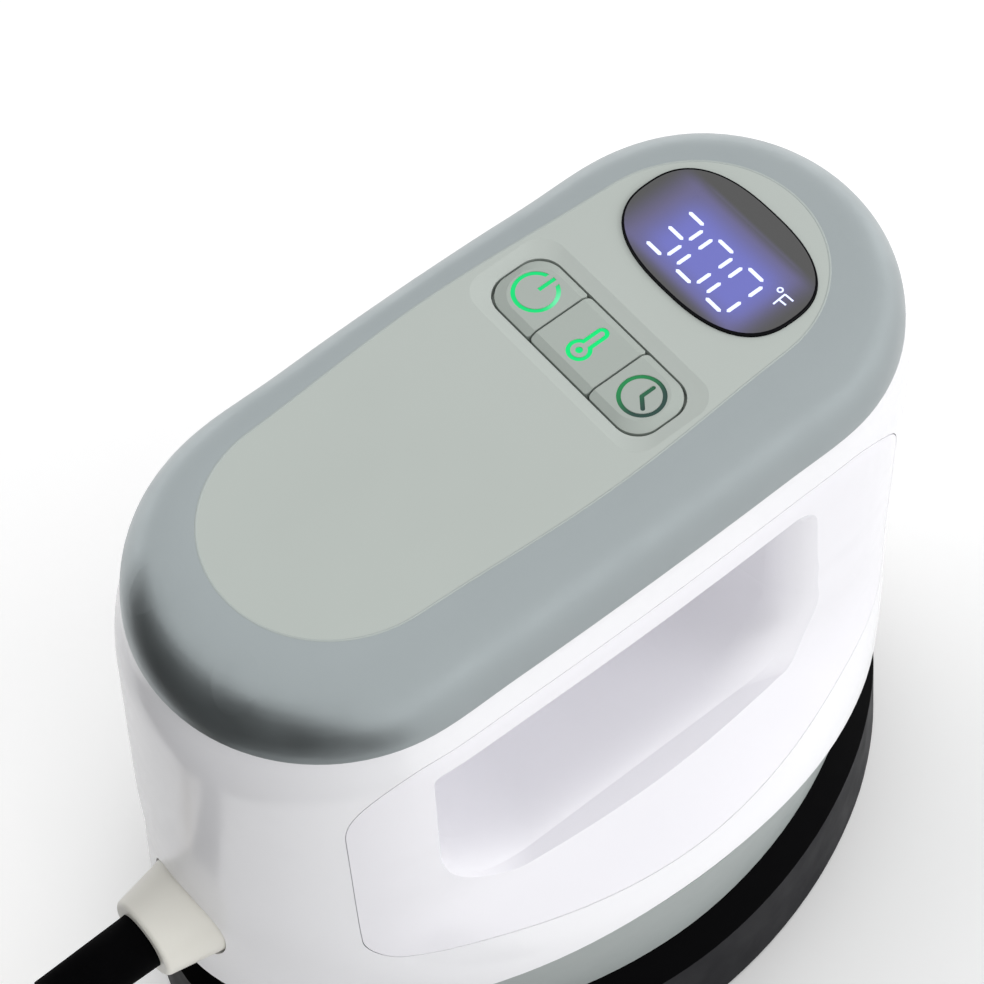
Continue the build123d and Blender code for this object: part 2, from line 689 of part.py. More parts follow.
def make_frame():
    frame = extrude(base_face(frame_z, SKIRT_INSET + SKIRT_WALL + CLEARANCE), FRAME_THICKNESS)
    frame -= block((*FRAME_WINDOW, FRAME_THICKNESS), SENSOR_X, 0, frame_z)
    for x, y in PLATE_SCREWS:
        frame -= upright(SCREW_HOLE + 0.1, frame_z, FRAME_THICKNESS, x, y)
    for side in (-1, 1):
        y = side * ELEMENT_HALF_GAUGE
        frame -= upright(LEAD_RADIUS + LEAD_ROOM, frame_z, FRAME_THICKNESS, heater_lead_x, y)
    board_screws = []
    for x, y in corners(POWER_BOARD_LENGTH - 8, POWER_BOARD_WIDTH - 8):
        frame += upright(POST_RADIUS, frame_top_z, POWER_BOARD_STANDOFF, x, y)
        frame -= upright(SCREW_HOLE, frame_top_z - 1, POWER_BOARD_STANDOFF + 1, x, y)
        board_screws.append(screw(x, y, power_board_z + BOARD_THICKNESS, 5.0, up=-1))
    pedestal = block(
        (CLAMP_LENGTH, CLAMP_WIDTH, BOSS_HEIGHT - frame_top_z), CLAMP_X, 0, frame_top_z
    )
    channel = along_x(cord_radius + 0.05, CLAMP_X - 20, CLAMP_X + CLAMP_LENGTH, BOSS_HEIGHT)
    frame += pedestal - channel
    clamp = block((CLAMP_LENGTH, CLAMP_WIDTH, CLAMP_THICKNESS), CLAMP_X, 0, BOSS_HEIGHT + CLAMP_SPLIT)
    clamp -= channel
    clamp_screws = []
    clamp_top = BOSS_HEIGHT + CLAMP_SPLIT + CLAMP_THICKNESS
    for side in (-1, 1):
        y = side * CLAMP_SCREW_Y
        frame -= upright(SCREW_HOLE, BOSS_HEIGHT - 6, 6, CLAMP_X, y)
        clamp -= upright(SCREW_HOLE, BOSS_HEIGHT, clamp_top - BOSS_HEIGHT, CLAMP_X, y)
        clamp_screws.append(screw(CLAMP_X, y, clamp_top, 10.0, up=-1))
    save("base_frame", frame)
    save("cord_clamp", clamp)
    save("clamp_screws", *clamp_screws)
    board = block(
        (POWER_BOARD_LENGTH, POWER_BOARD_WIDTH, BOARD_THICKNESS), 0, 0, power_board_z
    )
    for x, y in corners(POWER_BOARD_LENGTH - 8, POWER_BOARD_WIDTH - 8):
        board -= upright(SCREW_HOLE, power_board_z, BOARD_THICKNESS, x, y)
    save("power_board", board)
    save("power_board_screws", *board_screws)
    save("heater_relay", block(RELAY, RELAY_X, 0, power_board_top_z))
    capacitor = upright(
        CAPACITOR_RADIUS, power_board_top_z, CAPACITOR_HEIGHT, CAPACITOR_X, CAPACITOR_Y
    )
    save("filter_capacitor", capacitor)
    save("terminal_block", block(TERMINAL_BLOCK, TERMINAL_BLOCK_X, 0, power_board_top_z))
    make_leads()


def make_leads():
    """The wires inside: from the cord to the terminals, and from the terminals to the heater."""
    block_back = TERMINAL_BLOCK_X - TERMINAL_BLOCK[0] / 2
    block_side = TERMINAL_BLOCK[1] / 2
    lead_z = power_board_top_z + TERMINAL_BLOCK[2] - 3 * LEAD_RADIUS
    mains = []
    heater = []
    for side in (-1, 1):
        y = side * (LEAD_RADIUS + 0.4)
        mains.append(along_x(LEAD_RADIUS, CLAMP_X + CLAMP_LENGTH, block_back, BOSS_HEIGHT, y))
        y = side * ELEMENT_HALF_GAUGE
        path = FilletPolyline(
            (heater_lead_x, y, plate_top_z + 0.2),
            (heater_lead_x, y, lead_z),
            (TERMINAL_BLOCK_X, y, lead_z),
            (TERMINAL_BLOCK_X, side * block_side, lead_z),
            radius=LEAD_BEND,
        )
        heater.append(rod(path, LEAD_RADIUS))
    save("mains_leads", *mains)
    save("heater_leads", *heater)
    over_z = grip_z + LINER_WALL + RIBBON_CLEARANCE
    route = FilletPolyline(
        (RIBBON_BOARD_X, RIBBON_Y, power_board_top_z),
        (RIBBON_BOARD_X, RIBBON_Y, power_board_top_z + 6),
        (RIBBON_RISE_X, RIBBON_Y, opening_floor_z - LINER_WALL - 2),
        (RIBBON_RISE_X, RIBBON_Y, over_z),
        (RIBBON_SOCKET_X, RIBBON_Y, over_z),
        (RIBBON_SOCKET_X, RIBBON_Y, board_z - RIBBON_SOCKET[2]),
        radius=1.2,
    )
    strip = Plane(route @ 0, x_dir=(0, 1, 0), z_dir=route % 0) * Rectangle(
        RIBBON_WIDTH, RIBBON_THICKNESS
    )
    save("ribbon_cable", sweep(strip, path=route))


# ---- Cap ----
def make_cap():
    cap = cap_solid(0.0, CAP_HEIGHT) - cap_solid(CAP_WALL, CAP_HEIGHT - PANEL_THICKNESS - PANEL_LEDGE)
    cap -= panel_prism(panel_under_z, PANEL_THICKNESS)
    cap -= panel_prism(parting_z, CAP_HEIGHT, PANEL_LEDGE)
    outer = cap_solid(0.0, CAP_HEIGHT)
    inner_opening = panel_prism(parting_z, CAP_HEIGHT, PANEL_LEDGE)
    for sx in (-1, 1):
        for sy in (-1, 1):
            x = sx * CAP_SCREW_X
            y = sy * CAP_SCREW_Y
            post = upright(POST_RADIUS, parting_z, CAP_HEIGHT, x, y) & outer
            cap += post - inner_opening - panel_prism(panel_under_z, PANEL_THICKNESS)
            cap -= upright(SCREW_HOLE, parting_z, CAP_SCREW_GRIP, x, y)
    save("top_cap", cap)
    screws = []
    for x, y in corners(2 * CAP_SCREW_X, 2 * CAP_SCREW_Y):
        length = CAP_POST_DEPTH + CAP_SCREW_GRIP - SCREW_TIP_ROOM
        screws.append(screw(x, y, parting_z - CAP_POST_DEPTH, length))
    save("cap_screws", *screws)


def key_face(centre_y, length, corner_low, corner_high, grow=0.0):
    """A key's outline. Only the row's outer corners are round."""
    x0 = KEY_ROW_X - KEY_WIDTH / 2 - grow
    x1 = KEY_ROW_X + KEY_WIDTH / 2 + grow
    y0 = centre_y - length / 2 - grow
    y1 = centre_y + length / 2 + grow
    face = make_face(Polyline((x0, y0), (x1, y0), (x1, y1), (x0, y1), close=True))
    lows = face.vertices().group_by(Axis.Y)[0]
    face = fillet(lows, corner_low)
    highs = face.vertices().group_by(Axis.Y)[-1]
    return fillet(highs, corner_high)


def key_rows():
    """Each key's name, middle and length across the body, with its two corner radii."""
    outer = (KEY_ROW_LENGTH - KEY_MIDDLE_LENGTH - 2 * KEY_GAP) / 2
    offset = (KEY_ROW_LENGTH - outer) / 2
    return (
        ("power", offset, outer, KEY_INNER_CORNER, KEY_CORNER),
        ("temperature", 0.0, KEY_MIDDLE_LENGTH, KEY_INNER_CORNER, KEY_INNER_CORNER),
        ("timer", -offset, outer, KEY_CORNER, KEY_INNER_CORNER),
    )


def power_icon():
    ring = Circle(ICON_SIZE / 2) - Circle(ICON_SIZE / 2 - ICON_LINE)
    ring -= Pos(0, ICON_SIZE / 2) * Rectangle(ICON_POWER_GAP, ICON_SIZE)
    bar = Pos(0, (ICON_SIZE - ICON_POWER_BAR) / 2) * Rectangle(ICON_LINE, ICON_POWER_BAR)
    return [ring, bar]


def thermometer_form(inset):
    """A thermometer's bulb and tube, moved in by an inset."""
    bulb_y = ICON_BULB_RADIUS - ICON_SIZE / 2
    tube_top = ICON_SIZE / 2 - ICON_TUBE_WIDTH / 2
    bulb = Pos(0, bulb_y) * Circle(ICON_BULB_RADIUS - inset)
    tube = Pos(0, (bulb_y + tube_top) / 2) * Rectangle(ICON_TUBE_WIDTH - 2 * inset, tube_top - bulb_y)
    return bulb + tube + Pos(0, tube_top) * Circle(ICON_TUBE_WIDTH / 2 - inset)


def thermometer_icon():
    dot = Pos(0, ICON_BULB_RADIUS - ICON_SIZE / 2) * Circle(ICON_DOT_RADIUS)
    return [thermometer_form(0) - thermometer_form(ICON_LINE), dot]


def clock_icon():
    ring = Circle(ICON_SIZE / 2) - Circle(ICON_SIZE / 2 - ICON_LINE)
    hand = Pos(0, ICON_HAND / 2) * SlotOverall(ICON_HAND + ICON_LINE, ICON_LINE, rotation=90)
    return [ring, hand + Rot(0, 0, ICON_HOUR_TURN) * hand]


def make_keys():
    icons = {"power": power_icon, "temperature": thermometer_icon, "timer": clock_icon}
    row = (0, KEY_ROW_LENGTH, KEY_CORNER, KEY_CORNER)
    edge_z = panel_z - KEY_DISH
    row_form = extrude(Pos(0, 0, flange_top_z) * key_face(*row), edge_z - flange_top_z)
    row_form += loft([Pos(0, 0, edge_z) * key_face(*row), Pos(0, 0, panel_z) * key_face(*row, -KEY_BEVEL)])
    switches = []
    lamps = []
    for name, y, length, low, high in key_rows():
        outline = Pos(0, 0, flange_top_z) * key_face(y, length, low, high)
        body = extrude(outline, panel_z - flange_top_z) & row_form
        flange = Pos(KEY_ROW_X, y, flange_top_z - KEY_FLANGE_THICKNESS / 2) * Box(
            KEY_WIDTH + 2 * KEY_FLANGE, length, KEY_FLANGE_THICKNESS
        )
        stem = upright(
            KEY_STEM_RADIUS, key_under_z - KEY_STEM_LENGTH, KEY_STEM_LENGTH, KEY_ROW_X, y
        )
        key = body + flange + stem
        marks = []
        for shape in icons[name]():
            turned = Pos(KEY_ROW_X, y, panel_z - ICON_DEPTH) * Rot(0, 0, -90) * shape
            key -= extrude(turned, ICON_DEPTH)
            marks.append(extrude(turned, ICON_DEPTH - ICON_SINK))
        save(f"{name}_key", key)
        save(f"{name}_icon", *marks)
        case = (SWITCH_SIZE, SWITCH_SIZE, SWITCH_HEIGHT - SWITCH_PLUNGER_RISE)
        switch = block(case, KEY_ROW_X, y, board_top_z)
        switch += upright(SWITCH_PLUNGER_RADIUS, board_top_z, SWITCH_HEIGHT, KEY_ROW_X, y)
        switches.append(switch)
        lamps.append(upright(LED_RADIUS, board_top_z, LED_HEIGHT, KEY_ROW_X, y + LED_OFFSET))
    save("tact_switches", *switches)
    save("key_lamps", *lamps)


def make_panel():
    panel = panel_prism(panel_under_z, PANEL_THICKNESS, PANEL_GAP)
    well = key_face(0, KEY_ROW_LENGTH, KEY_CORNER, KEY_CORNER, KEY_GAP)
    panel -= extrude(Pos(0, 0, panel_under_z) * well, PANEL_THICKNESS)
    brim = key_face(0, KEY_ROW_LENGTH, KEY_CORNER, KEY_CORNER, KEY_GAP + WELL_BEVEL)
    panel -= loft([Pos(0, 0, panel_z - WELL_DEPTH) * well, Pos(0, 0, panel_z) * brim])
    panel -= superellipse_prism(
        LENS_X, LENS_LENGTH, LENS_WIDTH, LENS_POWER, panel_under_z, PANEL_THICKNESS
    )
    screws = []
    board = block(
        (CONTROL_BOARD_BACK + CONTROL_BOARD_FRONT, CONTROL_BOARD_WIDTH, BOARD_THICKNESS),
        (CONTROL_BOARD_FRONT - CONTROL_BOARD_BACK) / 2, 0, board_z,
    )
    board = fillet(board.edges().filter_by(Axis.Z), CONTROL_BOARD_CORNER)
    for x, y in BOARD_POSTS:
        panel += upright(BOARD_POST_RADIUS, board_top_z, panel_under_z - board_top_z, x, y)
        panel -= upright(BOARD_SCREW_RADIUS + 0.05, board_top_z, BOARD_SCREW_BITE + 0.5, x, y)
        board -= upright(BOARD_SCREW_RADIUS + 0.15, board_z, BOARD_THICKNESS, x, y)
        shank = upright(BOARD_SCREW_RADIUS, board_z, BOARD_THICKNESS + BOARD_SCREW_BITE, x, y)
        head = upright(BOARD_SCREW_HEAD[0], board_z - BOARD_SCREW_HEAD[1], BOARD_SCREW_HEAD[1], x, y)
        screws.append(shank + head)
    save("top_panel", panel)
    save("control_board", board)
    save("board_screws", *screws)
    lens = superellipse_prism(
        LENS_X, LENS_LENGTH - 2 * LENS_GAP, LENS_WIDTH - 2 * LENS_GAP, LENS_POWER,
        panel_under_z, PANEL_THICKNESS + LENS_RAISE,
    )
    save("display_lens", lens)
    module = superellipse_prism(
        LENS_X, LENS_LENGTH - 2 * MODULE_MARGIN, LENS_WIDTH - 2 * MODULE_MARGIN, LENS_POWER,
        board_top_z, panel_under_z - board_top_z,
    )
    save("display_module", module)
    save("buzzer", upright(BUZZER_RADIUS, board_z - BUZZER_HEIGHT, BUZZER_HEIGHT, 0, 0))
    save("tilt_sensor", block(TILT_SENSOR, TILT_SENSOR_X, 0, board_z - TILT_SENSOR[2]))
    chip_z = board_z - CONTROLLER_CHIP[2]
    save("controller_chip", block(CONTROLLER_CHIP, CONTROLLER_CHIP_X, 0, chip_z))
    socket = block(RIBBON_SOCKET, RIBBON_SOCKET_X, RIBBON_Y, board_z - RIBBON_SOCKET[2])
    save("ribbon_socket", socket)


# ---- Cord ----
def route_radii(points):
    """Each bend's radius: 0.45 of the shorter run over the tangent of half the turn."""
    radii = []
    for a, b, c in zip(points, points[1:], points[2:]):
        before = b - a
        after = c - b
        turn = before.get_angle(after)
        radii.append(0.45 * min(before.length, after.length) / tan(turn * pi / 360))
    return radii


# The cord's route, from the strain relief to the coil's outer turn.
CORD_ROUTE = [
    Vector(-92, 0, 37.5),
    Vector(-105, 0, 37.5),
    Vector(-119, -2, 32.4),
    Vector(-130.2, -6, 23.4),
    Vector(-139.6, -12.6, 15.6),
    Vector(-147.6, -21.6, 11.6),
]

# From the coil's outer turn to the plug.
CORD_END_ROUTE = [
    Vector(-178, 43, 3.3),
    Vector(-163.5, 41.6, 4.2),
    Vector(-151, 36, 6),
    Vector(-138, 31.1, 6),
]


def cord_tube(name, points):
    radii = route_radii(points)
    path = FilletPolyline(*points, radius=radii)
    tube = rod(path, cord_radius)
    print(name, "bend radii", [round(r, 1) for r in radii])
    print(name, "volume over section times length", tube.volume / (path.length * pi * cord_radius**2))
    save(name, tube)


def heel_x(z):
    """Where the body's heel is at a height near the base."""
    centre, half = body_middle(z)
    return centre - half


def make_cord():
    inner_x = heel_x(BOSS_HEIGHT) + SHELL_WALL
    boss = Pos(-BOSS_REACH, 0, BOSS_HEIGHT) * Rot(0, 90, 0) * Cone(
        BOSS_END_RADIUS, BOSS_FOOT_RADIUS, BOSS_REACH + inner_x,
        align=(Align.CENTER, Align.CENTER, Align.MIN),
    )
    boss = fillet(boss.edges().group_by(Axis.X)[0], 0.8)
    flange_x = inner_x + BOSS_FLANGE_GAP
    boss += along_x(BOSS_FOOT_RADIUS, inner_x, flange_x, BOSS_HEIGHT)
    boss += along_x(BOSS_FLANGE_RADIUS, flange_x, flange_x + BOSS_FLANGE, BOSS_HEIGHT)
    save("cord_socket", boss - along_x(RELIEF_RADIUS + 0.05, -BOSS_REACH, -40, BOSS_HEIGHT))
    relief = Pos(-RELIEF_REACH, 0, BOSS_HEIGHT) * Rot(0, 90, 0) * Cone(
        RELIEF_TIP_RADIUS, RELIEF_RADIUS, RELIEF_REACH - BOSS_REACH,
        align=(Align.CENTER, Align.CENTER, Align.MIN),
    )
    relief += along_x(RELIEF_RADIUS, -BOSS_REACH, RELIEF_INNER_X, BOSS_HEIGHT)
    core = RELIEF_TIP_RADIUS - RELIEF_GROOVE_DEPTH
    for i in range(RELIEF_GROOVES):
        x = RELIEF_GROOVE_START - RELIEF_GROOVE_PITCH * i
        ring = along_x(RELIEF_RADIUS + 1, x - RELIEF_GROOVE_WIDTH, x, BOSS_HEIGHT)
        relief -= ring - along_x(core, x - RELIEF_GROOVE_WIDTH, x, BOSS_HEIGHT)
    save("strain_relief", relief)
    tail = along_x(cord_radius, RELIEF_INNER_X, CLAMP_X + CLAMP_LENGTH, BOSS_HEIGHT)
    save("cord_tail", tail)
    cord_tube("cord", CORD_ROUTE)
    cord_tube("cord_end", CORD_END_ROUTE)
    x, y = COIL_CENTRE
    coil = upright(COIL_OUTER_RADIUS, 0, COIL_HEIGHT, x, y) - upright(
        COIL_INNER_RADIUS, 0, COIL_HEIGHT, x, y
    )
    save("cord_coil", fillet(coil.edges(), cord_radius - 0.3))


def make_plug():
    """The mains plug, lying on the table beside the coil, its two blades pointing away from it."""
    neck = Rot(0, 90, 0) * Cone(
        cord_radius + 0.4, cord_radius + 2, PLUG_NECK,
        align=(Align.CENTER, Align.CENTER, Align.MIN),
    )
    body = Pos(PLUG_NECK + PLUG_LENGTH / 2, 0, 0) * Box(PLUG_LENGTH, PLUG_WIDTH, PLUG_HEIGHT)
    body = fillet(body.edges(), PLUG_CORNER) + neck
    pins = []
    for side in (-1, 1):
        x = PLUG_NECK + PLUG_LENGTH + PIN_LENGTH / 2
        pins.append(Pos(x, side * PIN_GAUGE / 2, 0) * Box(PIN_LENGTH, PIN_THICKNESS, PIN_WIDTH))
    place = Pos(CORD_END_ROUTE[-1]) * Rot(0, 0, PLUG_TURN)
    save("plug_body", place * body)
    save("plug_pins", *[place * pin for pin in pins])


make_stand()
make_heater()
make_body()
make_skirt()
make_frame()
make_cap()
make_keys()
make_panel()
make_cord()
make_plug()
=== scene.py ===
# %% [markdown]
# # A small handheld heat press on its stand
#
# The press is a white plastic handle body with a blue-grey cap, a pale panel with
# three keys and a lit display, and a black mains cord. It stands in a dark tray.
# The hard parts arrive from CAD in metres, already in place. This file gives them
# their finishes, and makes what CAD leaves plain: the cord, the glowing display
# and the fine seams.

import math

import bpy
from mathutils import Matrix, Vector


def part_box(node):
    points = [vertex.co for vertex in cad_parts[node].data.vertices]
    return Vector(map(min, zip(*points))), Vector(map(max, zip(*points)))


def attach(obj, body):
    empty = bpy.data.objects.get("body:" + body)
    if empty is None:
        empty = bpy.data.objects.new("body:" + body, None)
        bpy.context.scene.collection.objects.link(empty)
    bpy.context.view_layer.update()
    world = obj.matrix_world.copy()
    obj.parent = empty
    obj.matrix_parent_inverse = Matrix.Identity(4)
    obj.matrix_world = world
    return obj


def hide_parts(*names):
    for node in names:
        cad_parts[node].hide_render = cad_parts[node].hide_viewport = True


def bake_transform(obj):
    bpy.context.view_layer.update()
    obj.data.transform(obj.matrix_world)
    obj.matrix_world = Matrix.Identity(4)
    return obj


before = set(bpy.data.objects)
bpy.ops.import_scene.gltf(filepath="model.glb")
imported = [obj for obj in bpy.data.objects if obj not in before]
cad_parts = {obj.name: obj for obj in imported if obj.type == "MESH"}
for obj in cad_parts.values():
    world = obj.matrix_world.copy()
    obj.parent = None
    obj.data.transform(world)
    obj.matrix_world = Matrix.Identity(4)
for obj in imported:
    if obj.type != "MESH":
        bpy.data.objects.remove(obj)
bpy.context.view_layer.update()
MM = 0.001


def in_scene(name, data):
    """A new object in the scene that holds the data."""
    holder = bpy.data.objects.new(name, data)
    bpy.context.scene.collection.objects.link(holder)
    return holder


# %% [markdown]
# ## Camera
#
# A product shot from above and behind the heel, with a long lens, so that the
# near end is hardly larger than the far end. The camera's axes are worked out from
# an azimuth, an elevation and a small roll.

# %% Camera
CAMERA_AZIMUTH = math.radians(-36.759)
CAMERA_ELEVATION = math.radians(57.825)
CAMERA_ROLL = math.radians(-2.92)
CAMERA_PLACE = Vector((-0.164286, -0.214147, 0.510886))
LENS_MM = 143.92

back = Vector((
    math.sin(CAMERA_AZIMUTH) * math.cos(CAMERA_ELEVATION),
    -math.cos(CAMERA_AZIMUTH) * math.cos(CAMERA_ELEVATION),
    math.sin(CAMERA_ELEVATION),
))
level = (-back).cross(Vector((0, 0, 1))).normalized()
rise = level.cross(-back)
right = level * math.cos(CAMERA_ROLL) + rise * math.sin(CAMERA_ROLL)
up = rise * math.cos(CAMERA_ROLL) - level * math.sin(CAMERA_ROLL)

camera_data = bpy.data.cameras.new("camera")
camera_data.lens = LENS_MM
camera_data.clip_start = 0.05
camera_data.clip_end = 20
camera = in_scene("camera", camera_data)
camera.matrix_world = Matrix((
    (right.x, up.x, back.x, CAMERA_PLACE.x),
    (right.y, up.y, back.y, CAMERA_PLACE.y),
    (right.z, up.z, back.z, CAMERA_PLACE.z),
    (0, 0, 0, 1),
))
bpy.context.scene.camera = camera
print("camera at", [round(v, 3) for v in CAMERA_PLACE])


# %% [markdown]
# ## Finishes
#
# Every moulded part has the same recipe: a colour that drifts a little from place
# to place, a roughness that is not quite even, and a very fine grain from the
# mould. Only the numbers differ, so one function makes them all. The patterns read
# Object coordinates, which stay still when a piece moves.

# %% A recipe for moulded parts
NOISE_MIDDLE = (0.3, 0.7)
COLOUR_PATCHES = 45
ROUGHNESS_PATCHES = 160
ROUGHNESS_DETAIL = 4
ROUGHNESS_SWING = 0.12
GRAIN_DETAIL = 3
COAT_ROUGHNESS = 0.12
# A Mix node has sockets for each kind of data; these are the ones for colours.
MIX_FACTOR, MIX_COLOUR_A, MIX_COLOUR_B, MIX_COLOUR_OUT = 0, 6, 7, 2


def tone(red, green, blue):
    """A display colour from 0 to 255 as the linear colour that a shader wants."""
    shares = [v / 255 for v in (red, green, blue)]
    return [v / 12.92 if v <= 0.04045 else ((v + 0.055) / 1.055) ** 2.4 for v in shares] + [1]


def link(tree, source, target):
    tree.links.new(source, target)


def feed(tree, value, socket):
    """A socket that takes a link from another socket, or a plain value."""
    if isinstance(value, bpy.types.NodeSocket):
        link(tree, value, socket)
    else:
        socket.default_value = value


def noise(tree, scale, detail=2.0):
    """A noise texture on Object coordinates, and its output socket."""
    place = tree.nodes.get("Texture Coordinate") or tree.nodes.new("ShaderNodeTexCoord")
    node = tree.nodes.new("ShaderNodeTexNoise")
    node.inputs["Scale"].default_value = scale
    node.inputs["Detail"].default_value = detail
    link(tree, place.outputs["Object"], node.inputs["Vector"])
    return node.outputs["Fac"]


def mapped(tree, source, start, end, low, high, way="LINEAR"):
    """The source's range from start to end, mapped to run from low to high."""
    node = tree.nodes.new("ShaderNodeMapRange")
    node.interpolation_type = way
    ends = {"From Min": start, "From Max": end, "To Min": low, "To Max": high}
    for socket, value in ends.items():
        node.inputs[socket].default_value = value
    link(tree, source, node.inputs["Value"])
    return node.outputs["Result"]


def spread(tree, source, low, high):
    """The middle range of a noise stretched to run from low to high."""
    return mapped(tree, source, *NOISE_MIDDLE, low, high)


def mixed(tree, share, first, second):
    """Two colours mixed by a share."""
    node = tree.nodes.new("ShaderNodeMix")
    node.data_type = "RGBA"
    for value, index in ((share, MIX_FACTOR), (first, MIX_COLOUR_A), (second, MIX_COLOUR_B)):
        feed(tree, value, node.inputs[index])
    return node.outputs[MIX_COLOUR_OUT]


def along(tree, axis, start_mm, end_mm, low=0.0, high=1.0):
    """A smooth step from low to high between two places along an axis of the object."""
    place = tree.nodes.get("Texture Coordinate") or tree.nodes.new("ShaderNodeTexCoord")
    parts = tree.nodes.get("Separate XYZ") or tree.nodes.new("ShaderNodeSeparateXYZ")
    link(tree, place.outputs["Object"], parts.inputs[0])
    return mapped(tree, parts.outputs[axis], start_mm * MM, end_mm * MM, low, high, "SMOOTHSTEP")


def calculated(tree, operation, first, second):
    """One step of arithmetic on two values, such as MULTIPLY or MAXIMUM."""
    node = tree.nodes.new("ShaderNodeMath")
    node.operation = operation
    feed(tree, first, node.inputs[0])
    feed(tree, second, node.inputs[1])
    return node.outputs[0]


def band(tree, axis, low_mm, high_mm, soft_mm):
    """1 between two places along an axis, fading to 0 over a soft edge."""
    rise = along(tree, axis, low_mm, low_mm + soft_mm)
    fall = along(tree, axis, high_mm, high_mm - soft_mm)
    return calculated(tree, "MULTIPLY", rise, fall)


def bumped(tree, source, height_mm, shader):
    """A bump of a real height on the shader's normal."""
    node = tree.nodes.new("ShaderNodeBump")
    node.inputs["Strength"].default_value = 1.0
    node.inputs["Distance"].default_value = height_mm * MM
    link(tree, source, node.inputs["Height"])
    link(tree, node.outputs["Normal"], shader.inputs["Normal"])


def moulded(
    name, colour, rough, drift=0.04, grain_mm=0.3, grain_height=0.004,
    metal=0.0, coat=0.0, gloss=0.5,
):
    """A moulded or machined surface: colour drift, uneven roughness and a fine grain."""
    material = bpy.data.materials.new(name)
    material.use_nodes = True
    tree = material.node_tree
    shader = tree.nodes["Principled BSDF"]
    shader.inputs["Metallic"].default_value = metal
    shader.inputs["Coat Weight"].default_value = coat
    shader.inputs["Coat Roughness"].default_value = COAT_ROUGHNESS
    shader.inputs["Specular IOR Level"].default_value = gloss
    darker = [v * (1 - drift) for v in colour[:3]] + [1]
    patches = spread(tree, noise(tree, COLOUR_PATCHES), 0, 1)
    link(tree, mixed(tree, patches, colour, darker), shader.inputs["Base Color"])
    wear = noise(tree, ROUGHNESS_PATCHES, ROUGHNESS_DETAIL)
    uneven = spread(tree, wear, rough * (1 - ROUGHNESS_SWING), rough * (1 + ROUGHNESS_SWING))
    link(tree, uneven, shader.inputs["Roughness"])
    bumped(tree, noise(tree, 1 / (grain_mm * MM), GRAIN_DETAIL), grain_height, shader)
    return material


# %% [markdown]
# ## The finishes of this press
#
# The shell and liners are glossy white, the cap is a satin blue-grey, the panel
# and keys are a finer, paler grey. The stand is dark, with a black rim whose colour
# and gloss are pushed almost to nothing, which paints in the shade below the press's edge.

# %% The finishes
polished = {"drift": 0.01, "grain_height": 0.001}
satin = {"drift": 0.02, "grain_height": 0.003}
shell_white = moulded("shell_white", tone(247, 247, 250), 0.24, coat=0.2, **polished)
liner_white = moulded("liner_white", tone(246, 245, 250), 0.24, coat=0.15, **polished)
cap_satin = moulded("cap_satin", tone(165, 173, 175), 0.38, metal=0.85, **satin)
panel_satin = moulded("panel_satin", tone(188, 195, 190), 0.5, gloss=0.3, **satin)
key_satin = moulded("key_satin", tone(172, 180, 174), 0.46, gloss=0.35, **satin)
skirt_grey = moulded("skirt_grey", tone(166, 173, 172), 0.42, drift=0.04, gloss=0.3)
# The rim is black plastic. Its colour and gloss are pushed almost to nothing, which also paints
# in the shade that falls on it below the press's edge.
rim_black_and_painted_shade = moulded(
    "rim_black_and_painted_shade", tone(3, 3, 4), 0.5, drift=0.1, grain_height=0.002, gloss=0.03,
)
stand_grey = moulded("stand_grey", tone(31, 31, 34), 0.5, drift=0.08, gloss=0.05)
rubber_black = moulded(
    "rubber_black", tone(4, 4, 5), 0.8, drift=0.15, grain_mm=0.5, grain_height=0.01, gloss=0.04,
)
boss_ivory = moulded("boss_ivory", tone(240, 238, 229), 0.35, drift=0.03)
cord_pvc = moulded(
    "cord_pvc", tone(6, 6, 7), 0.6, drift=0.2, grain_mm=0.6, grain_height=0.006, gloss=0.08,
)
lens_black = moulded(
    "lens_black", tone(6, 6, 10), 0.25, drift=0.05, grain_height=0.0, gloss=0.06,
)
module_black = moulded("module_black", tone(18, 18, 20), 0.6)
icon_lit = moulded("icon_lit", tone(0, 150, 80), 0.4)
icon_dim = moulded("icon_dim", tone(30, 80, 60), 0.4)
felt_oat = moulded(
    "felt_oat", tone(205, 198, 184), 0.95, drift=0.12, grain_mm=0.35, grain_height=0.12,
)
plate_metal = moulded("plate_metal", tone(196, 198, 202), 0.34, metal=1.0, grain_mm=0.2)
steel_zinc = moulded("steel_zinc", tone(180, 182, 186), 0.3, metal=1.0)
ceramic_bisque = moulded("ceramic_bisque", tone(232, 228, 216), 0.8, grain_height=0.01)
frame_black = moulded("frame_black", tone(40, 40, 42), 0.6)
board_green = moulded("board_green", tone(26, 92, 52), 0.4, drift=0.1)
part_black = moulded("part_black", tone(34, 34, 36), 0.5)
lamp_clear = moulded("lamp_clear", tone(214, 236, 222), 0.15)
brass_bright = moulded("brass_bright", tone(214, 184, 112), 0.28, metal=1.0)
lead_white = moulded("lead_white", tone(222, 221, 216), 0.5)
ribbon_grey = moulded("ribbon_grey", tone(150, 152, 156), 0.5)

FINISH_OF = {
    "white_shell": shell_white, "liner_white": liner_white, "cap_blue_grey": cap_satin,
    "panel_grey": panel_satin, "key_grey": key_satin, "icon_lit": icon_lit, "icon_dim": icon_dim,
    "lens_dark": lens_black, "module_black": module_black, "skirt_grey": skirt_grey,
    "stand_black": rim_black_and_painted_shade, "stand_grey": stand_grey, "rubber_black": rubber_black,
    "felt": felt_oat, "plate_aluminium": plate_metal, "steel": steel_zinc,
    "ceramic": ceramic_bisque, "frame_black": frame_black, "board_green": board_green,
    "part_black": part_black, "lamp_clear": lamp_clear, "boss_ivory": boss_ivory,
    "cord_black": cord_pvc, "brass": brass_bright, "lead_white": lead_white,
    "ribbon_grey": ribbon_grey,
}
for node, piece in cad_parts.items():
    for holder in piece.material_slots:
        slot_name = holder.material.name.split(".")[0] if holder.material else ""
        if slot_name in FINISH_OF:
            holder.material = FINISH_OF[slot_name]
        else:
            print("no finish for", node, slot_name)
